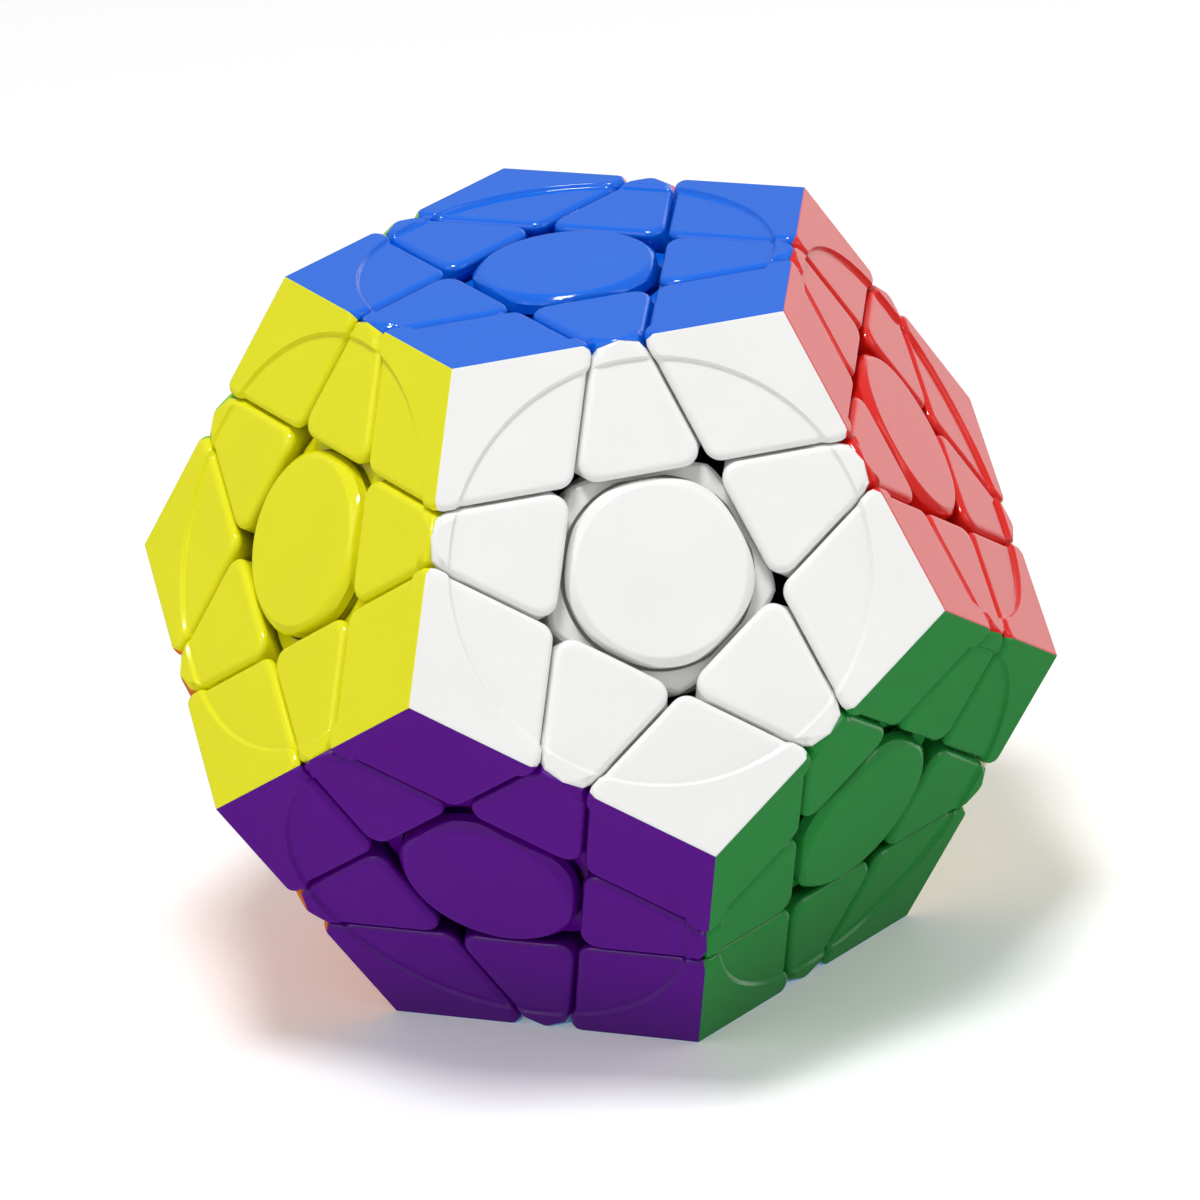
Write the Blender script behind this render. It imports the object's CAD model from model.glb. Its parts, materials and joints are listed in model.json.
"""Dodecahedron twisty puzzle: its moulded shells, feet, caps, bases and springs round the CAD frame.

A puzzle of this kind has twelve centres, thirty edges and twenty corners. Every corner is clipped together
from three coloured shells and a foot, every edge from two shells and a foot, and every centre from a cap and
a base that holds a spring on its screw.
"""

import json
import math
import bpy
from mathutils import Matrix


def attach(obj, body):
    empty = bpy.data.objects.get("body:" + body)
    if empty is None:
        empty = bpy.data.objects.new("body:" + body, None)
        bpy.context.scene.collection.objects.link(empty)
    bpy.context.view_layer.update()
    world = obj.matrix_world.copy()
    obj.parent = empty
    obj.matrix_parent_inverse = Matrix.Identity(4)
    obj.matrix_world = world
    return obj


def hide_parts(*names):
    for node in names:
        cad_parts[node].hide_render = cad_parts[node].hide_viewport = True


bl_info = {
    "name": "Dodecahedron Twisty Puzzle",
    "version": (1, 0, 0),
    "blender": (4, 5, 0),
    "location": "View3D > Sidebar > Puzzle",
    "description": "Makes the shells, caps, feet and springs of a dodecahedron twisty puzzle",
    "category": "Add Mesh",
}

import bmesh
import bpy
import numpy as np
from mathutils import Matrix, Vector

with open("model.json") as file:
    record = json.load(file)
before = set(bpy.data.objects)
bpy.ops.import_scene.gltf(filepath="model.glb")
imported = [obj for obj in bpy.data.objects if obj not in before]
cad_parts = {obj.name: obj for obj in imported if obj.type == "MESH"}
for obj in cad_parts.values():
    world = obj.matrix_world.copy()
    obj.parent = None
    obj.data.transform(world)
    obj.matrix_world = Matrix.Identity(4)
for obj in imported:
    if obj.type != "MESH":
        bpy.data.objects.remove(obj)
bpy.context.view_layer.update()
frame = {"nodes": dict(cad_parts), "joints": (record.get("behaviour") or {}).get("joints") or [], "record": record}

MM = 0.001
# Angles of the dodecahedron
FACE_ANGLE = math.atan(2)  # between the axes of two neighbouring faces
HALF_BEND = FACE_ANGLE / 2  # between an edge's axis and its own two faces
VERTEX_TO_FACE = math.radians(37.3773681)  # between a vertex's axis and its three faces
VERTEX_TO_SIDE = math.radians(36)  # between a face's ways to a vertex and to the sides beside it
FIFTH = math.radians(72)
FACE_TO_SIDE = 1.113516  # a face's distance from the middle, in sides
LEAN = 1 / math.tan(FACE_ANGLE)  # a cut plane moves sideways by this much for each unit of depth

BODIES = frame["record"]["behaviour"]["bodies"]
BODY_OF = {node: body for body, nodes in BODIES.items() for node in nodes}
TURNS = [joint for joint in frame["joints"] if joint["name"].endswith("_face_turn")]
MIDDLE = np.array(TURNS[0]["pos_m"])
FACE_HEIGHT = float(MIDDLE[2])  # the puzzle rests on a face, so its middle is this high
FACES = {joint["name"].removesuffix("_face_turn"): np.array(joint["axis"]) for joint in TURNS}
FACES["light_blue"] = np.array([0.0, 0.0, -1.0])
NAMES = list(FACES)
EDGES = [
    (a, b) for i, a in enumerate(NAMES) for b in NAMES[i + 1:] if FACES[a] @ FACES[b] > 0.4
]
CORNERS = [
    (a, b, c) for a, b in EDGES for c in NAMES[NAMES.index(b) + 1:]
    if FACES[a] @ FACES[c] > 0.4 and FACES[b] @ FACES[c] > 0.4
]


def length(name, description, millimetres, low=0.0, high=100.0):
    """A size in metres that a user can change, from its value in millimetres."""
    return bpy.props.FloatProperty(
        name=name, description=description, default=millimetres * MM, min=low * MM, max=high * MM,
        unit="LENGTH", precision=5,
    )


def colour(name, description, code):
    """A plastic's colour that a user can change, from its sRGB hex value."""
    return bpy.props.FloatVectorProperty(
        name=name, description=description, default=linear(code), size=4, min=0, max=1, subtype="COLOR",
    )


def linear(code):
    """Turns an sRGB hex value into linear red, green, blue and an alpha of 1."""
    parts = [int(code[k:k + 2], 16) / 255 for k in (0, 2, 4)]
    return tuple(c / 12.92 if c <= 0.04045 else ((c + 0.055) / 1.055) ** 2.4 for c in parts) + (1.0,)


# ---- what a user can change ----


class PuzzleShape(bpy.types.PropertyGroup):
    """Sizes of the coloured shells."""

    cut_share: bpy.props.FloatProperty(
        name="Cut share", description="Distance of each cut from the vertex, as a share of the side",
        default=0.443, min=0.43, max=0.45,
    )
    seam: length("Seam", "Gap between neighbouring pieces", 0.26, 0.2, 0.4)
    edge_round: length("Seam edge round", "Radius of a shell's edge along a seam", 0.75, 0.3, 1.0)
    ridge_round: length("Ridge round", "Radius of the ridge between two faces", 0.4, 0.2, 0.8)
    nub_round: length("Nub ridge round", "Radius of the ridge on an edge's narrow end", 0.7, 0.2, 1.2)
    notch_depth: length("Notch depth", "How far the outline curves in beside a ridge", 0.6, 0, 0.8)
    notch_length: length("Notch length", "Distance from the ridge where that curve starts", 1.2, 0.5, 2.5)
    inner_round: length("Inner corner round", "Radius of a corner's point beside the cap", 1.2, 0.5, 2.5)
    wide_round: length("Wide end round", "Radius of an edge shell's corners beside the cap", 2.5, 1.0, 3.5)
    dish_radius: length("Dish radius", "Radius of the shallow dish in each face", 21.1, 20.5, 22.0)
    dish_depth: length("Dish depth", "Depth of the dish", 0.4, 0.2, 0.6)
    dish_step: length("Dish step", "Width of the step at the dish's edge", 0.3, 0.1, 0.8)


class PuzzleCentre(bpy.types.PropertyGroup):
    """Sizes of the caps and of what lies under them."""

    cap_radius: length("Cap radius", "Radius of the round cap", 9.45, 9.0, 10.0)
    cap_top: length("Cap top radius", "Radius of the flat top of the cap", 8.45, 7.0, 8.7)
    cap_height: length("Cap height", "Height of the cap above its base", 1.9, 1.5, 2.2)
    cap_bevel: length("Cap bevel", "Height of the bevel round the cap", 0.8, 0.4, 1.3)
    rim_gap: length("Rim gap", "Height of the dark gap under the cap's rim", 0.45, 0.2, 0.8)
    base_radius: length("Base radius", "Radius of the base under the cap", 12.1, 10.0, 12.5)
    wire: length("Spring wire", "Diameter of the spring's wire", 0.6, 0.4, 0.7)
    spring_radius: length("Spring radius", "Radius of the spring along its wire", 2.2, 1.8, 2.4)
    spring_turns: bpy.props.FloatProperty(
        name="Spring turns", description="Turns in the spring", default=4.5, min=3, max=7,
    )


class PuzzleColours(bpy.types.PropertyGroup):
    """The twelve colours of plastic."""

    blue: colour("Blue", "Plastic of the top face", "0669e2")
    white: colour("White", "Plastic of the front face", "f2f2f0")
    red: colour("Red", "Plastic of the red face", "e0241e")
    pink: colour("Pink", "Plastic of the pink face", "f08cb4")
    light_green: colour("Light green", "Plastic of the light green face", "8fd13f")
    yellow: colour("Yellow", "Plastic of the yellow face", "ebe814")
    green: colour("Green", "Plastic of the dark green face", "288c3e")
    pale_yellow: colour("Pale yellow", "Plastic of the pale yellow face", "f2e7b0")
    grey: colour("Grey", "Plastic of the grey face", "8b8e92")
    orange: colour("Orange", "Plastic of the orange face", "f0761c")
    purple: colour("Purple", "Plastic of the purple face", "5c068e")
    light_blue: colour("Light blue", "Plastic of the resting face", "7cc4ea")
    core: colour("Core", "Plastic of the core", "2a2c30")


class PuzzleStage(bpy.types.PropertyGroup):
    """The camera's place and lens."""

    azimuth: bpy.props.FloatProperty(
        name="Azimuth", description="Camera's way round the puzzle", default=math.radians(-100.9),
        subtype="ANGLE",
    )
    elevation: bpy.props.FloatProperty(
        name="Elevation", description="Camera's height above the horizon", default=math.radians(23.5),
        subtype="ANGLE",
    )
    roll: bpy.props.FloatProperty(
        name="Roll", description="Camera's turn about its own line of sight", default=math.radians(5.8),
        subtype="ANGLE",
    )
    distance: bpy.props.FloatProperty(
        name="Distance", description="Camera's distance from the puzzle's middle", default=0.9, unit="LENGTH",
    )
    lens: bpy.props.FloatProperty(
        name="Lens", description="Focal length of the camera in millimetres", default=265, min=20, max=400,
    )


# ---- surfaces ----


def solve(inside, low, high):
    """Where a function of an array falls below zero on the way from low to high, by halving the span."""
    low, high = np.broadcast_arrays(np.asarray(low, float), np.asarray(high, float))
    for _ in range(40):
        middle = (low + high) / 2
        within = inside(middle) >= 0
        low, high = np.where(within, middle, low), np.where(within, high, middle)
    return low


def rounded_min(a, b, radius):
    """The smaller of two lines' distances, with their corner rounded.

    Where both are under the radius it is the radius less the length of the two shortfalls.
    """
    return np.maximum(np.minimum(a, b), radius) - np.hypot(
        np.maximum(radius - a, 0), np.maximum(radius - b, 0)
    )


def quarter_round(distance, radius, setback):
    """How far a rounded edge has dropped at a distance inside its outline.

    The round is an arc of the radius that starts one setback inside: r - sqrt(r^2 - (setback - distance)^2).
    """
    inward = np.clip(setback - distance, 0, setback)
    return radius - np.sqrt(np.maximum(radius**2 - inward**2, 0))


def round_steps(radius, steps=6):
    """Distances inside an outline at which an edge's quarter round turns by even angles."""
    return radius * (1 - np.cos(np.linspace(0, math.pi / 2, steps + 1)))


def grid_faces(rows, columns, wrap_rows=False, wrap_columns=False, start=0):
    """Quads of a grid of rows by columns, joined up on itself where a direction wraps."""
    r = np.arange(rows if wrap_rows else rows - 1)[:, None]
    c = np.arange(columns if wrap_columns else columns - 1)[None, :]
    below, after = (r + 1) % rows, (c + 1) % columns
    corners = [r * columns + c, r * columns + after, below * columns + after, below * columns + c]
    return start + np.stack([np.broadcast_to(k, (r.size, c.size)) for k in corners], axis=-1).reshape(-1, 4)


def closed_mesh(name, vertices, faces, sharp=40):
    """A mesh from arrays: doubles at seams and poles merged, faces outwards, smooth up to an angle."""
    mesh = bpy.data.meshes.new(name)
    mesh.from_pydata(vertices.tolist(), [], faces.tolist())
    work = bmesh.new()
    work.from_mesh(mesh)
    bmesh.ops.remove_doubles(work, verts=work.verts, dist=0.002 * MM)
    bmesh.ops.recalc_face_normals(work, faces=work.faces)
    work.to_mesh(mesh)
    work.free()
    mesh.polygons.foreach_set("use_smooth", np.ones(len(mesh.polygons), bool))
    mesh.set_sharp_from_angle(angle=math.radians(sharp))
    return mesh


def patch_and_skirt(name, patch, skirts, tip):
    """A closed shell: a patch of columns by samples, rings carried down from its rim, and a tip."""
    columns, samples = patch.shape[:2]
    index = np.arange(columns * samples).reshape(columns, samples)
    rim = np.concatenate([index[0, :-1], index[:-1, -1], index[-1, :0:-1], index[:0:-1, 0]])
    points = patch.reshape(-1, 3)
    rings = [points[rim]] + [skirt(points[rim]) for skirt in skirts] + [np.tile(tip, (rim.size, 1))]
    vertices = np.concatenate([points, np.concatenate(rings)])
    faces = [grid_faces(columns, samples), grid_faces(len(rings), rim.size, wrap_columns=True,
                                                      start=len(points))]
    return closed_mesh(name, vertices, np.concatenate(faces))


def lathe(name, rows, turns=96, wrap=False, sharp=40):
    """A profile turned about Z. A row is a radius and a height, each a number or one value for each angle."""
    angle = np.linspace(0, 2 * math.pi, turns, endpoint=False)
    radius = np.stack([np.broadcast_to(row[0], angle.shape) for row in rows])
    height = np.stack([np.broadcast_to(row[1], angle.shape) for row in rows])
    points = np.stack([radius * np.cos(angle), radius * np.sin(angle), height], axis=-1).reshape(-1, 3)
    return closed_mesh(name, points, grid_faces(len(rows), turns, wrap_rows=wrap, wrap_columns=True), sharp)


def joined_rows(sections):
    """Rows of a lathe with the sharp turns between its straight runs rounded over a small radius."""
    rows = []
    count = len(sections)
    for k, (radius, height, bend) in enumerate(sections):
        before, after = sections[k - 1], sections[(k + 1) % count]
        if bend == 0 or k in (0, count - 1):
            rows.append((radius, height))
            continue
        here = np.array([radius, height])
        back, on = np.array(before[:2]) - here, np.array(after[:2]) - here
        reach = min(bend, np.linalg.norm(back) / 2, np.linalg.norm(on) / 2)
        start, end = here + back / np.linalg.norm(back) * reach, here + on / np.linalg.norm(on) * reach
        for s in (0, 0.25, 0.5, 0.75, 1):
            rows.append(tuple((1 - s) ** 2 * start + 2 * s * (1 - s) * here + s**2 * end))
    return rows


def unit(vector):
    """A vector of the same direction and a length of 1."""
    return vector / np.linalg.norm(vector)


def place(axis, towards):
    """Matrix that puts a shape made about +Z on an axis through the middle, with +X towards a direction."""
    x = unit(towards - (towards @ axis) * axis)
    matrix = np.eye(4)
    matrix[:3, 0], matrix[:3, 1], matrix[:3, 2], matrix[:3, 3] = x, np.cross(axis, x), axis, MIDDLE
    return Matrix(matrix.tolist())


def face_places():
    """Every face's colour and the place that turns +Z to its axis."""
    return {name: place(axis, FACES[next(n for n in NAMES if 0.4 < FACES[n] @ axis < 0.5)])
            for name, axis in FACES.items()}


def add_piece(name, template, matrix, material, node):
    """Puts a copy of a template in its place, on the body of the CAD node that it stands for."""
    mesh = template.copy()
    mesh.name = name
    mesh.transform(matrix)
    mesh.materials.clear()
    mesh.materials.append(material)
    piece = bpy.data.objects.new(name, mesh)
    bpy.context.scene.collection.objects.link(piece)
    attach(piece, BODY_OF[node])
    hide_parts(node)
    return piece


def cut_height(shape):
    """Distance of the cut planes from the middle, halfway through the seam."""
    side = FACE_HEIGHT / FACE_TO_SIDE
    return FACE_HEIGHT - shape.cut_share * side * math.sin(FIFTH) * math.sin(FACE_ANGLE)


def cut_line(height):
    """Where a neighbour's cut plane at a height crosses a face, measured from the face's middle."""
    return (height - FACE_HEIGHT * math.cos(FACE_ANGLE)) / math.sin(FACE_ANGLE)


def dish(shape, x, y):
    """Depth of the round dish at a point of a face: full inside the step, none outside it.

    Across the step, with its share r from 0 at the inner side to 1 at the outer side, the depth is the
    full one times one minus r times one plus 0.4 r, which rounds the step's foot.
    """
    rise = np.clip((np.hypot(x, y) - shape.dish_radius) / shape.dish_step + 1, 0, 1)
    return shape.dish_depth * (1 - rise) * (1 + 0.4 * rise)


def edge_drop(shape, inside, ridge, bend):
    """Drop of a shell's top beside a seam, and over the ridge between two faces."""
    seam = quarter_round(inside, shape.edge_round, shape.edge_round)
    return seam + quarter_round(ridge, bend, bend * math.tan(HALF_BEND))


def notch(shape, ridge):
    """How far the outline curves in near the ridge: a parabola that starts one notch length away."""
    return shape.notch_depth * np.clip(1 - ridge / shape.notch_length, 0, 1) ** 2


# ---- corner and edge shells ----


# where a shell's grid lines run beside the dish's step, in widths of the step from its outer side
ACROSS_STEP = np.array([-1.5, -1.1, -0.9, -0.7, -0.5, -0.3, -0.1, 0.1, 0.5])
# how much of a shell's height each ring of its wall keeps, above the point or line where it ends
WALL_RINGS = (0.96, 0.9, 0.75, 0.5, 0.25)


def corner_shell(shape):
    """One coloured shell of a corner, in its face's frame with +X towards the vertex.

    The top is a height over (x, y): the face, less the dish, less the rounds at the seams and ridges. Columns
    run at constant y from the cut's outline to the plane that halves the ridge, and meet in a point at both
    ends. Below the rim the walls run straight to the point where the three cut planes cross.
    """
    cut = cut_height(shape) + shape.seam / 2
    line, apothem = cut_line(cut), FACE_HEIGHT * math.tan(HALF_BEND)
    cosine, sine = math.cos(VERTEX_TO_SIDE), math.sin(VERTEX_TO_SIDE)

    def inside(x, y):
        lean = LEAN * (shape.edge_round + dish(shape, x, y)) + line + notch(shape, ridge(x, y))
        return rounded_min(x * cosine + y * sine - lean, x * cosine - y * sine - lean, shape.inner_round)

    def ridge(x, y):
        return apothem - x * cosine - np.abs(y) * sine

    def drop(x, y):
        return dish(shape, x, y) + edge_drop(shape, inside(x, y), ridge(x, y), shape.ridge_round)

    def ends(y):
        outer = (apothem - np.abs(y) * sine) / cosine
        first = solve(lambda x: inside(x, y), outer, 0 * y)
        return first, solve(lambda x: ridge(x, y) - math.tan(HALF_BEND) * drop(x, y), first, outer)

    trial = np.linspace(0, 14 * MM, 3000)
    first, last = ends(trial)
    half_width = trial[np.argmax(last - first < 0.003 * MM)]
    y = (half_width * np.linspace(-1, 1, 73))[:, None]
    first, last = ends(y)
    ring = shape.dish_radius + shape.dish_step * ACROSS_STEP
    over = np.array([0, 0.03, 0.08, 0.14, 0.2, 0.25, 0.4]) * MM
    x = np.concatenate([
        first + round_steps(shape.edge_round) / cosine,
        np.sqrt(np.maximum(ring**2 - y**2, 0)),
        last - over / cosine,
        first + (last - first) * np.linspace(0, 1, 14),
    ], axis=1)
    x = np.sort(np.clip(x, first, last), axis=1)
    patch = np.stack([x, y + 0 * x, FACE_HEIGHT - drop(x, y)], axis=-1)
    tip = np.array([cut * math.tan(VERTEX_TO_FACE), 0, cut])
    skirts = [lambda rim, k=k: tip + (rim - tip) * k for k in WALL_RINGS]
    return patch_and_skirt("corner_shell", patch, skirts, tip)


def edge_shell(shape):
    """One coloured half of an edge, in its face's frame with +X towards the ridge.

    The top is a height over (x, y) as on a corner. Rows run across it from the end beside the cap to the
    plane that halves the ridge, bent to follow the dish's step. Below the rim the walls run in to the line
    where the two cut planes and the half plane meet.
    """
    outer_cut, inner_cut = cut_height(shape) + shape.seam / 2, cut_height(shape) - shape.seam / 2
    line, side_line, apothem = cut_line(outer_cut), cut_line(inner_cut), FACE_HEIGHT * math.tan(HALF_BEND)
    cosine, sine = math.cos(FIFTH), math.sin(FIFTH)

    def inside(x, y):
        lean = LEAN * (shape.edge_round + dish(shape, x, y))
        side = side_line + lean - x * cosine - np.abs(y) * sine - notch(shape, apothem - x)
        return rounded_min(x - line - lean, side, shape.wide_round)

    def drop(x, y):
        return dish(shape, x, y) + edge_drop(shape, inside(x, y), apothem - x, shape.nub_round)

    def half_width(x):
        return solve(lambda y: inside(x, y) + 1e-8, 0 * x, 14 * MM + 0 * x)

    first = solve(lambda x: inside(x, 0 * x), np.array(15 * MM), np.array(8 * MM))
    inward = round_steps(shape.edge_round) / sine
    across = np.concatenate([inward, np.array([1.25]) * shape.edge_round])

    def columns(x):
        half = half_width(x)
        reach = np.minimum(1, half / (1.6 * shape.edge_round))
        edge = half - across * reach
        middle = edge[:, -1:] * np.linspace(1, -1, 14)[1:-1]
        return np.concatenate([edge, middle, -edge[:, ::-1]], axis=1)

    ring = shape.dish_radius
    near = np.concatenate([round_steps(shape.edge_round), np.array([0.95, 1.25, 1.6, 2.0, 2.5, 3.1]) * MM])
    step = ring + shape.dish_step * ACROSS_STEP
    level = np.concatenate([first + near, np.linspace(first + 4 * MM, ring - 0.9 * MM, 12), step])
    follow = 1 - np.clip((np.abs(level - ring) - 0.5 * MM) / (1.3 * MM), 0, 1)
    y = columns(level[:, None])
    x = level[:, None] + follow[:, None] * (np.sqrt(ring**2 - y**2) - ring)
    last_y, last = y[-1:], np.full_like(y[-1:], apothem)
    for _ in range(30):
        last = apothem - math.tan(HALF_BEND) * drop(last, last_y)
        last_y = columns_at(last, last_y, half_width)
    over = 1 - np.array([1.3, 1.1, 0.9, 0.7, 0.5, 0.4, 0.3, 0.2, 0.12, 0.05, 0]) * MM / (apothem - level[-1])
    end_x = x[-1:] + (last - x[-1:]) * over[:, None]
    end_y = y[-1:] + (last_y - y[-1:]) * over[:, None]
    x, y = np.concatenate([x, end_x]), np.concatenate([y, end_y])
    patch = np.stack([x, y, FACE_HEIGHT - drop(x, y)], axis=-1)

    depth = (apothem - line) / (LEAN + math.tan(HALF_BEND))
    tip = np.array([line + LEAN * depth, 0, FACE_HEIGHT - depth])
    clear = math.tan(math.radians(14.88))  # keeps the block off the corners' necks

    def width(point):
        side = (side_line + LEAN * (FACE_HEIGHT - point[:, 2]) - point[:, 0] * cosine) / sine
        up = point[:, 0] * math.sin(HALF_BEND) + point[:, 2] * math.cos(HALF_BEND)
        return np.minimum(side, clear * up)

    def skirt(rim, k):
        ring = tip + (rim - tip) * k
        ring[:, 1] = rim[:, 1] * width(ring) / width(rim)
        return ring

    skirts = [lambda rim, k=k: skirt(rim, k) for k in (*WALL_RINGS, 0.08)]
    return patch_and_skirt("edge_shell", patch, skirts, tip)


def columns_at(x, y, half_width):
    """Moves a row's points to the outline's width at their new x, keeping their share of it."""
    return y * half_width(x) / np.maximum(np.abs(y).max(), 1e-9)


# ---- centres ----


def centre_outline(radius, flat, turns, bend):
    """Radius of a disc with five flats at each angle, with the corners between them rounded."""
    angle = np.linspace(0, 2 * math.pi, turns, endpoint=False)
    offset = (angle + FIFTH / 2) % FIFTH - FIFTH / 2
    return solve(lambda r: rounded_min(radius - r, flat - r * np.cos(offset), bend), 0 * angle,
                 radius + 0 * angle)


def centre_cap(shape, centre, turns=160):
    """Cap: a flat disc, a bevel, a wall that the neighbours' cut planes trim, and a hollow skirt below.

    Along the bevel, the radius grows from the disc's to the wall's with the share of the bevel's depth
    raised to the power 0.75. The smaller of that radius and the outline inside the cut planes holds.
    """
    top = FACE_HEIGHT - shape.dish_depth / 2
    bottom = top - centre.cap_height

    def outline(radius, depth):
        flat = cut_line(cut_height(shape) - shape.seam / 2) + LEAN * (FACE_HEIGHT - top + depth)
        return np.minimum(centre_outline(centre.cap_radius, flat, turns, 1.2 * MM), radius)

    rows = [(0, top), (0.5 * centre.cap_top, top), (0.97 * centre.cap_top, top)]
    for share in (0, 0.03, 0.08, 0.16, 0.28, 0.42, 0.58, 0.78, 1):
        radius = centre.cap_top + (centre.cap_radius - centre.cap_top) * share**0.75
        rows.append((outline(radius, share * centre.cap_bevel), top - share * centre.cap_bevel))
    edge = outline(centre.cap_radius, centre.cap_height)
    rows += [(edge, bottom + 0.1 * MM), (edge - 0.1 * MM, bottom)]
    skirt, inside, low = 6.65 * MM, 5.65 * MM, bottom - 3.2 * MM
    rows += [(skirt, bottom), (skirt, low + 0.1 * MM), (skirt - 0.1 * MM, low)]
    rows += [(inside + 0.1 * MM, low), (inside, low + 0.1 * MM), (inside, bottom + 0.3 * MM)]
    rows += [(0, bottom + 0.3 * MM)]
    return lathe("centre_cap", rows, turns, sharp=25)


def centre_base(shape, centre, turns=160):
    """Base: post round the spring, cone-shaped plate over the edges' feet, and a five-sided boss."""
    inner = cut_height(shape) - shape.seam / 2
    top = FACE_HEIGHT - shape.dish_depth / 2 - centre.cap_height - 0.05 * MM

    def boss(height):
        flat = cut_line(inner) + LEAN * (FACE_HEIGHT - height)
        return centre_outline(centre.base_radius, flat, turns, 1.2 * MM)

    # the post and the plate over the edges' feet, from the screw's hole outwards
    post = [(1.3, 17.3), (3.7, 17.3), (4, 17.6), (4, 25.3),
            (8.8, 25.3), (9.1, 25.5), (11.1, 31.2), (11, 31.4)]
    rows = [(radius * MM, height * MM) for radius, height in post]
    # the boss, its rounded rim, the groove beside the cap's wall, and the seat of the cap
    ledge, bend = top - centre.rim_gap, 0.5 * MM
    rows += [(boss(31.4 * MM), 31.4 * MM), (boss(ledge - bend), ledge - bend)]
    for a in np.linspace(0.3, math.pi / 2, 5):
        rows.append((boss(ledge) - bend * (1 - math.cos(a)), ledge - bend * (1 - math.sin(a))))
    groove, floor = np.minimum(9.72 * MM, boss(ledge) - 0.7 * MM), ledge - 2 * MM
    rows += [(groove, ledge), (groove, floor), (groove - 0.8 * MM, floor), (groove - 0.8 * MM, ledge)]
    rows += [(7.2 * MM, ledge), (7.2 * MM, top), (6.8 * MM, top)]
    # the well for the spring and the screw's head
    well = [(6.8, 28), (2.9, 28), (2.9, 18.8), (1.3, 18.8)]
    rows += [(radius * MM, height * MM) for radius, height in well]
    return lathe("centre_base", rows, turns, wrap=True)


# ---- feet, springs and washers ----


def corner_foot():
    """Round neck and foot about the vertex's axis, its straight runs joined by small rounds."""
    # radius, height and bend in millimetres
    runs = [(0, 20, 0), (4.1, 20, 0.4), (4.9, 24.3, 0.3), (2.21, 24.3, 0.3), (2.21, 32.9, 0.3), (0, 32.9, 0)]
    rows = joined_rows([(r * MM, z * MM, bend * MM) for r, z, bend in runs])
    return lathe("corner_foot", rows, 48)


def edge_foot():
    """Long foot, stem and wide neck about the edge's axis: rounded rectangles carried up that axis.

    A point of a rectangle is its corner round's middle plus the round's radius at the angle.
    """
    # half widths along and across the edge, and height, in millimetres
    levels = [
        (0, 0, 19.5), (5.4, 2.2, 19.5), (5.66, 2.4, 19.7), (6.95, 2.4, 23.3), (6.8, 2.2, 23.5),
        (3.0, 2.3, 23.5), (3.0, 2.5, 25.25), (3.0, 5.4, 25.25), (3.0, 5.6, 25.45), (3.0, 5.6, 30.5),
        (2.8, 5.4, 30.7), (0, 0, 30.7),
    ]
    angle = np.linspace(0, 2 * math.pi, 32, endpoint=False) + math.pi / 32
    rows = []
    for half_x, half_y, height in levels:
        bend = min(0.5, half_x, half_y)
        x = np.sign(np.cos(angle)) * (half_x - bend) + bend * np.cos(angle)
        y = np.sign(np.sin(angle)) * (half_y - bend) + bend * np.sin(angle)
        rows.append(np.stack([x, y, height + 0 * x], axis=-1) * MM)
    points = np.stack(rows).reshape(-1, 3)
    return closed_mesh("edge_foot", points, grid_faces(len(levels), angle.size, wrap_columns=True))


def tension_spring(centre):
    """Spring: a circle of wire carried along a helix that lies flat for half a turn at both ends."""
    low, high = 18.9 * MM + centre.wire / 2, 22.3 * MM - centre.wire / 2
    turn = np.linspace(0, centre.spring_turns, int(centre.spring_turns * 28) + 1)
    share = np.clip((turn - 0.25) / (centre.spring_turns - 0.5), 0, 1)
    angle, height = 2 * math.pi * turn, low + (high - low) * share
    thick = np.full(turn.size, centre.wire / 2)
    thick[[0, -1]] = 0
    angle, height = angle[:, None], height[:, None]
    around = np.linspace(0, 2 * math.pi, 10, endpoint=False)[None, :]
    radius = centre.spring_radius + thick[:, None] * np.cos(around)
    points = np.stack([
        radius * np.cos(angle), radius * np.sin(angle), height + thick[:, None] * np.sin(around),
    ], axis=-1).reshape(-1, 3)
    return closed_mesh("tension_spring", points, grid_faces(turn.size, 10, wrap_columns=True), 80)


def washer():
    """Flat ring under the screw's head, with its four edges broken."""
    runs = [(1.15, 22.4), (2.5, 22.4), (2.58, 22.47), (2.58, 22.73), (2.5, 22.8), (1.15, 22.8), (1.1, 22.75),
            (1.1, 22.45)]
    return lathe("washer", [(r * MM, z * MM) for r, z in runs], 48, wrap=True)


# ---- materials ----


def add_node(tree, kind, inputs=None, **settings):
    """Adds a node with its settings, and sets its inputs or links them from other nodes' outputs."""
    made = tree.nodes.new(kind)
    for name, value in settings.items():
        setattr(made, name, value)
    for name, value in (inputs or {}).items():
        if isinstance(value, bpy.types.NodeSocket):
            tree.links.new(value, made.inputs[name])
        else:
            made.inputs[name].default_value = value
    return made


def new_material(name, colour_value):
    """An empty node material of a name, and its tree."""
    material = bpy.data.materials.new(name)
    material.use_nodes = True
    material.diffuse_color = colour_value
    material.node_tree.nodes.clear()
    return material, material.node_tree


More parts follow.
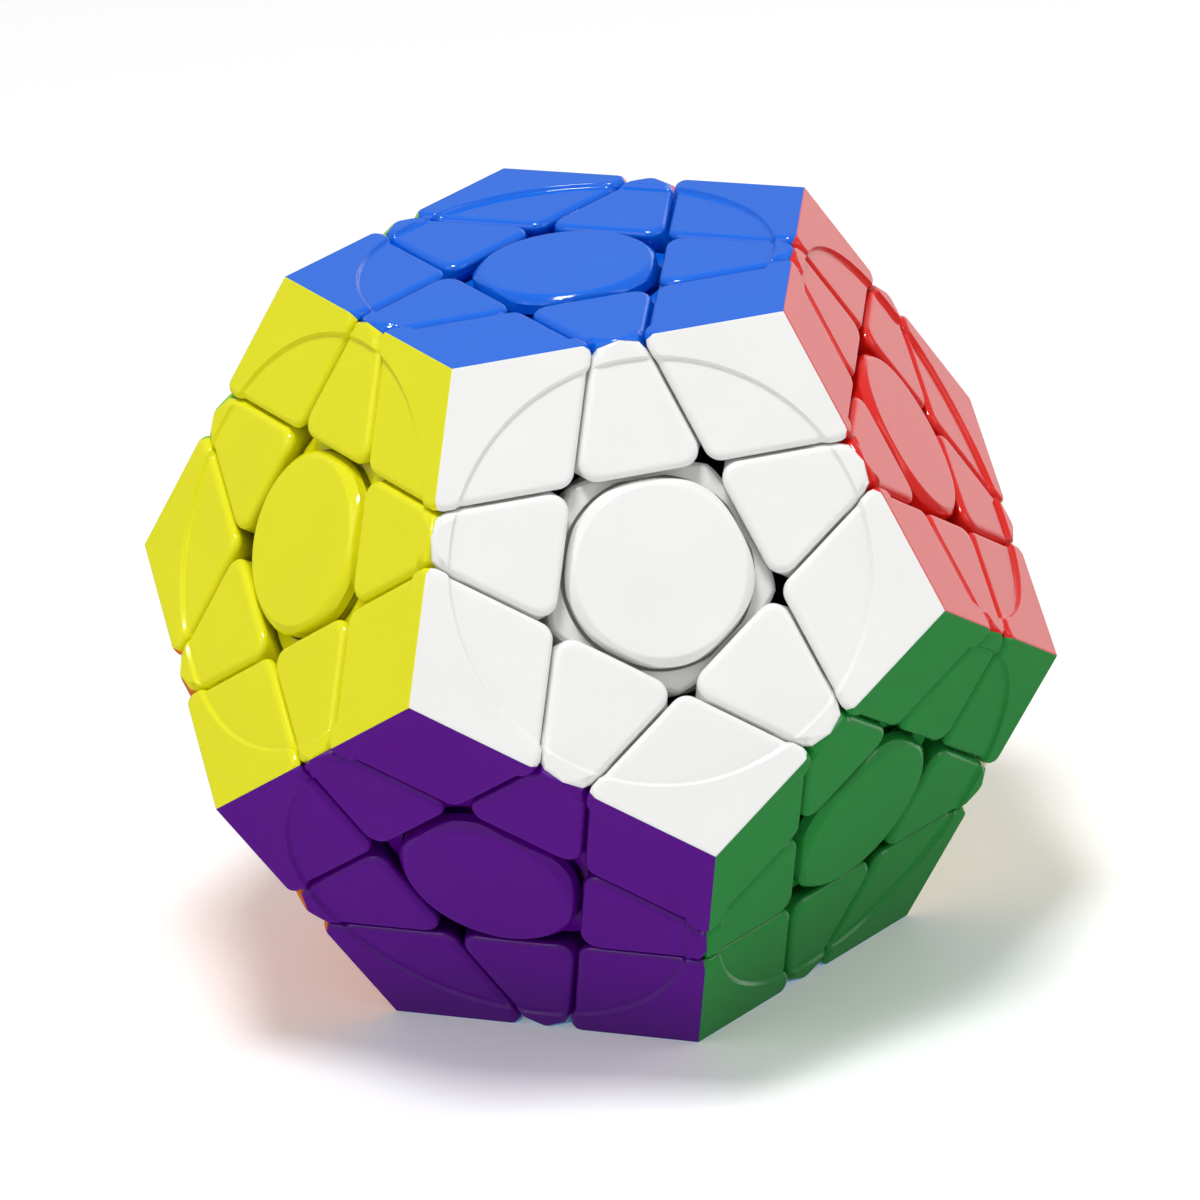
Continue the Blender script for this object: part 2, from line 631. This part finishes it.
def gloss_abs(name, base):
    """ABS, injection moulded in a polished tool: bright gloss, a faint orange peel and a thin haze.

    The colour goes right through the plastic, so light that enters a thin edge comes back more saturated.
    """
    material, tree = new_material(f"{name}_moulded_abs", base)
    place_at = add_node(tree, "ShaderNodeTexCoord").outputs["Object"]
    # the melt's flow leaves patches a centimetre wide that differ by a shade
    flow = add_node(tree, "ShaderNodeTexNoise", {"Vector": place_at, "Scale": 1 / (11 * MM), "Detail": 2.0})
    darker = tuple(c * 0.93 for c in base[:3]) + (1.0,)
    tone = add_node(tree, "ShaderNodeMix", {
        "Factor": flow.outputs["Fac"], 6: base, 7: darker}, data_type="RGBA")
    # fingers dull the gloss in patches of some 5 mm
    haze = add_node(tree, "ShaderNodeTexNoise", {"Vector": place_at, "Scale": 1 / (5 * MM), "Detail": 4.0})
    rough = add_node(tree, "ShaderNodeMapRange", {
        "Value": haze.outputs["Fac"], "From Min": 0.3, "From Max": 0.7, "To Min": 0.1, "To Max": 0.15})
    # the peel's grain is 0.1 mm and is drawn at 0.4 mm, so that it shows
    peel = add_node(tree, "ShaderNodeTexNoise", {"Vector": place_at, "Scale": 1 / (0.4 * MM), "Detail": 1.0})
    bump = add_node(tree, "ShaderNodeBump", {
        "Height": peel.outputs["Fac"], "Strength": 0.5, "Distance": 0.002 * MM})
    shader = add_node(tree, "ShaderNodeBsdfPrincipled", {
        "Base Color": tone.outputs[2], "Roughness": rough.outputs["Result"], "Normal": bump.outputs["Normal"],
        "IOR": 1.53, "Subsurface Weight": 0.1, "Subsurface Radius": (1.0, 0.8, 0.7),
        "Subsurface Scale": 0.6 * MM,
    })
    add_node(tree, "ShaderNodeOutputMaterial", {"Surface": shader.outputs["BSDF"]})
    return material


def matt_nylon(base):
    """Nylon, moulded in a spark-eroded tool: a fine even grain that breaks the gloss up."""
    material, tree = new_material("core_moulded_nylon", base)
    place_at = add_node(tree, "ShaderNodeTexCoord").outputs["Object"]
    # the tool's pits are 0.05 mm and are drawn at 0.25 mm, so that they show
    grain = add_node(tree, "ShaderNodeTexVoronoi", {"Vector": place_at, "Scale": 1 / (0.25 * MM)})
    bump = add_node(tree, "ShaderNodeBump", {
        "Height": grain.outputs["Distance"], "Strength": 0.5, "Distance": 0.02 * MM})
    shade = add_node(tree, "ShaderNodeTexNoise", {"Vector": place_at, "Scale": 1 / (4 * MM), "Detail": 3.0})
    rough = add_node(tree, "ShaderNodeMapRange", {
        "Value": shade.outputs["Fac"], "From Min": 0.3, "From Max": 0.7, "To Min": 0.45, "To Max": 0.6})
    shader = add_node(tree, "ShaderNodeBsdfPrincipled", {
        "Base Color": base, "Roughness": rough.outputs["Result"], "Normal": bump.outputs["Normal"],
        "IOR": 1.53})
    add_node(tree, "ShaderNodeOutputMaterial", {"Surface": shader.outputs["BSDF"]})
    return material


def zinc_steel():
    """Steel, cold headed or wound and zinc plated: a bright blue-white metal with a patchy crystal bloom."""
    material, tree = new_material("zinc_plated_steel", linear("b9bcc0"))
    place_at = add_node(tree, "ShaderNodeTexCoord").outputs["Object"]
    bloom = add_node(tree, "ShaderNodeTexNoise", {"Vector": place_at, "Scale": 1 / (0.8 * MM), "Detail": 5.0})
    tone = add_node(tree, "ShaderNodeMix", {
        "Factor": bloom.outputs["Fac"], 6: linear("c9ccd0"), 7: linear("a4a9b0")}, data_type="RGBA")
    rough = add_node(tree, "ShaderNodeMapRange", {
        "Value": bloom.outputs["Fac"], "To Min": 0.22, "To Max": 0.45})
    bump = add_node(tree, "ShaderNodeBump", {
        "Height": bloom.outputs["Fac"], "Strength": 0.4, "Distance": 0.005 * MM})
    shader = add_node(tree, "ShaderNodeBsdfPrincipled", {
        "Base Color": tone.outputs[2], "Metallic": 1.0, "Roughness": rough.outputs["Result"],
        "Normal": bump.outputs["Normal"]})
    add_node(tree, "ShaderNodeOutputMaterial", {"Surface": shader.outputs["BSDF"]})
    return material


def backdrop_board():
    """Coated white backdrop board, nearly white. It glows a little, which keeps the shadow on it pale."""
    material, tree = new_material("backdrop_board", linear("fafafa"))
    shader = add_node(tree, "ShaderNodeBsdfPrincipled", {
        "Base Color": linear("fbfbfb"), "Roughness": 0.38, "IOR": 1.45, "Emission Color": linear("ffffff"),
        "Emission Strength": 0.16})
    add_node(tree, "ShaderNodeOutputMaterial", {"Surface": shader.outputs["BSDF"]})
    return material


def plastic(name):
    """The plastic of one colour, made the first time that a piece asks for it."""
    made = bpy.data.materials.get(f"{name}_moulded_abs")
    return made or gloss_abs(name, tuple(getattr(bpy.context.scene.puzzle_colours, name)))


def nylon():
    """The dark nylon of the parts inside, made the first time that a piece asks for it."""
    made = bpy.data.materials.get("core_moulded_nylon")
    return made or matt_nylon(tuple(bpy.context.scene.puzzle_colours.core))


def steel():
    """The plated steel, made the first time that a piece asks for it."""
    return bpy.data.materials.get("zinc_plated_steel") or zinc_steel()


# ---- operators ----


def edge_node(a, b):
    """The CAD node of an edge; some of them also hold a corner of the resting face."""
    name = f"edge_{a}_{b}"
    return name if name in frame["nodes"] else f"{name}_with_corner"


def corner_node(a, b, c):
    """The CAD node of a corner; the resting face's corners share the node of an edge."""
    name = f"corner_{a}_{b}_{c}"
    return name if name in frame["nodes"] else edge_node(a, b)


class PUZZLE_OT_corner_shells(bpy.types.Operator):
    """Make the three coloured shells of every corner"""

    bl_idname = "puzzle.corner_shells"
    bl_label = "Corner Shells"

    def execute(self, context):
        template = corner_shell(context.scene.puzzle_shape)
        for corner in CORNERS:
            node, vertex = corner_node(*corner), unit(sum(FACES[name] for name in corner))
            for name in corner:
                add_piece(f"corner_{'_'.join(corner)}-{name}_shell", template, place(FACES[name], vertex),
                          plastic(name), node)
        bpy.data.meshes.remove(template)
        return {"FINISHED"}


class PUZZLE_OT_edge_shells(bpy.types.Operator):
    """Make the two coloured shells of every edge"""

    bl_idname = "puzzle.edge_shells"
    bl_label = "Edge Shells"

    def execute(self, context):
        template = edge_shell(context.scene.puzzle_shape)
        for a, b in EDGES:
            for name, other in ((a, b), (b, a)):
                add_piece(f"edge_{a}_{b}-{name}_shell", template, place(FACES[name], FACES[other]),
                          plastic(name), edge_node(a, b))
        bpy.data.meshes.remove(template)
        return {"FINISHED"}


class PUZZLE_OT_feet(bpy.types.Operator):
    """Make the necks and feet that hold the corners and edges in"""

    bl_idname = "puzzle.feet"
    bl_label = "Corner and Edge Feet"

    def execute(self, context):
        template = corner_foot()
        for corner in CORNERS:
            axis = unit(sum(FACES[name] for name in corner))
            add_piece(f"corner_{'_'.join(corner)}-foot", template, place(axis, FACES[corner[0]]),
                      nylon(), corner_node(*corner))
        bpy.data.meshes.remove(template)
        template = edge_foot()
        for a, b in EDGES:
            add_piece(f"edge_{a}_{b}-foot", template, place(unit(FACES[a] + FACES[b]), FACES[a]),
                      nylon(), edge_node(a, b))
        bpy.data.meshes.remove(template)
        return {"FINISHED"}


class PUZZLE_OT_centres(bpy.types.Operator):
    """Make the cap and the base of every centre"""

    bl_idname = "puzzle.centres"
    bl_label = "Centre Caps and Bases"

    def execute(self, context):
        shape, centre = context.scene.puzzle_shape, context.scene.puzzle_centre
        for kind, template in (("cap", centre_cap(shape, centre)), ("base", centre_base(shape, centre))):
            for name, matrix in face_places().items():
                add_piece(f"centre_{name}-{kind}", template, matrix, plastic(name), f"centre_{name}")
            bpy.data.meshes.remove(template)
        return {"FINISHED"}


class PUZZLE_OT_springs(bpy.types.Operator):
    """Make the twelve springs and washers"""

    bl_idname = "puzzle.springs"
    bl_label = "Springs and Washers"

    def execute(self, context):
        for kind, template in (("spring", tension_spring(context.scene.puzzle_centre)), ("washer", washer())):
            for name, matrix in face_places().items():
                add_piece(f"{kind}-{name}", template, matrix, steel(), "springs_and_washers")
            bpy.data.meshes.remove(template)
        return {"FINISHED"}


class PUZZLE_OT_core(bpy.types.Operator):
    """Give the core and the screws of the CAD model their materials"""

    bl_idname = "puzzle.core"
    bl_label = "Core and Screws"

    def execute(self, context):
        finishes = {"core": nylon(), "tension_screws": steel()}
        for name, material in finishes.items():
            for slot in frame["nodes"][name].material_slots:
                slot.material = material
        return {"FINISHED"}


def soft_light(name, location, size, power):
    """A square white softbox that looks at the puzzle's middle."""
    data = bpy.data.lights.new(name, "AREA")
    data.size, data.energy = size, power
    lamp = bpy.data.objects.new(name, data)
    bpy.context.scene.collection.objects.link(lamp)
    lamp.location = location
    lamp.rotation_mode = "QUATERNION"
    lamp.rotation_quaternion = (Vector(MIDDLE) - lamp.location).to_track_quat("-Z", "Y")


def studio_world():
    """Studio walls: bright above, dim towards the floor, with a bright patch low behind on the right."""
    world = bpy.data.worlds.new("studio")
    world.use_nodes = True
    tree = world.node_tree
    way = add_node(tree, "ShaderNodeTexCoord").outputs["Generated"]
    parts = add_node(tree, "ShaderNodeSeparateXYZ", {"Vector": way})
    walls = add_node(tree, "ShaderNodeMapRange", {
        "Value": parts.outputs["Z"], "From Min": -0.7, "From Max": 0.5, "To Min": 0.1, "To Max": 0.4})
    # about the cosine of the angle from the patch's middle: it is full within 13 degrees, gone at 30
    near = add_node(tree, "ShaderNodeVectorMath", {0: way, 1: (0.65, 0.74, -0.15)}, operation="DOT_PRODUCT")
    bright = add_node(tree, "ShaderNodeMapRange", {
        "Value": near.outputs["Value"], "From Min": 0.86, "From Max": 0.97, "To Min": 1.0, "To Max": 4.2})
    glow = add_node(tree, "ShaderNodeMath", {
        0: walls.outputs["Result"], 1: bright.outputs["Result"]}, operation="MULTIPLY")
    background = tree.nodes["Background"]
    background.inputs["Color"].default_value = (1, 1, 1, 1)
    tree.links.new(glow.outputs["Value"], background.inputs["Strength"])
    return world


class PUZZLE_OT_stage(bpy.types.Operator):
    """Make the floor, the lights and the camera"""

    bl_idname = "puzzle.stage"
    bl_label = "Stage"

    def execute(self, context):
        stage = context.scene.puzzle_stage
        mesh = bpy.data.meshes.new("floor")
        half = 4.0
        mesh.from_pydata([(-half, -half, 0), (half, -half, 0), (half, half, 0), (-half, half, 0)], [],
                         [(0, 1, 2, 3)])
        mesh.materials.append(backdrop_board())
        floor = bpy.data.objects.new("floor", mesh)
        floor.location.z = -0.02 * MM
        floor.visible_glossy = False  # a white floor would wash out the dark plastics' lower sides
        context.scene.collection.objects.link(floor)

        context.scene.world = studio_world()
        soft_light("key_light", (-0.75, -0.4, 0.8), 0.7, 1.5)
        soft_light("fill_light", (0.8, -0.45, 0.5), 0.7, 1.5)
        soft_light("top_light", (-0.1, -0.2, 1.1), 0.25, 7.3)
        context.scene.view_settings.view_transform = "Standard"

        data = bpy.data.cameras.new("camera")
        data.lens, data.sensor_width, data.clip_start, data.clip_end = stage.lens, 36, 0.01, 20
        camera = bpy.data.objects.new("camera", data)
        level = math.cos(stage.elevation)
        back = Vector((math.cos(stage.azimuth) * level, math.sin(stage.azimuth) * level,
                       math.sin(stage.elevation)))
        camera.location = Vector(MIDDLE) + back * stage.distance
        turned = (-back).to_track_quat("-Z", "Y").to_matrix() @ Matrix.Rotation(-stage.roll, 3, "Z")
        camera.rotation_mode = "QUATERNION"
        camera.rotation_quaternion = turned.to_quaternion()
        context.scene.collection.objects.link(camera)
        context.scene.camera = camera
        return {"FINISHED"}


class PUZZLE_PT_panel(bpy.types.Panel):
    """Lists the puzzle's operators and sizes"""

    bl_idname = "PUZZLE_PT_panel"
    bl_label = "Twisty Puzzle"
    bl_space_type = "VIEW_3D"
    bl_region_type = "UI"
    bl_category = "Puzzle"

    def draw(self, context):
        for operator in OPERATORS:
            self.layout.operator(operator.bl_idname)
        for group in (context.scene.puzzle_shape, context.scene.puzzle_centre, context.scene.puzzle_colours,
                      context.scene.puzzle_stage):
            box = self.layout.box()
            for name in group.__annotations__:
                box.prop(group, name)


OPERATORS = (PUZZLE_OT_stage, PUZZLE_OT_core, PUZZLE_OT_springs, PUZZLE_OT_centres, PUZZLE_OT_feet,
             PUZZLE_OT_edge_shells, PUZZLE_OT_corner_shells)
GROUPS = {"puzzle_shape": PuzzleShape, "puzzle_centre": PuzzleCentre, "puzzle_colours": PuzzleColours,
          "puzzle_stage": PuzzleStage}


def register():
    for item in (*GROUPS.values(), *OPERATORS, PUZZLE_PT_panel):
        bpy.utils.register_class(item)
    for name, group in GROUPS.items():
        setattr(bpy.types.Scene, name, bpy.props.PointerProperty(type=group))


def unregister():
    for name in GROUPS:
        delattr(bpy.types.Scene, name)
    for item in reversed((*GROUPS.values(), *OPERATORS, PUZZLE_PT_panel)):
        bpy.utils.unregister_class(item)


def main():
    """Registers the add-on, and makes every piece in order."""
    register()
    for operator in OPERATORS:
        area, name = operator.bl_idname.split(".")
        getattr(getattr(bpy.ops, area), name)()


if __name__ == "__main__":
    main()
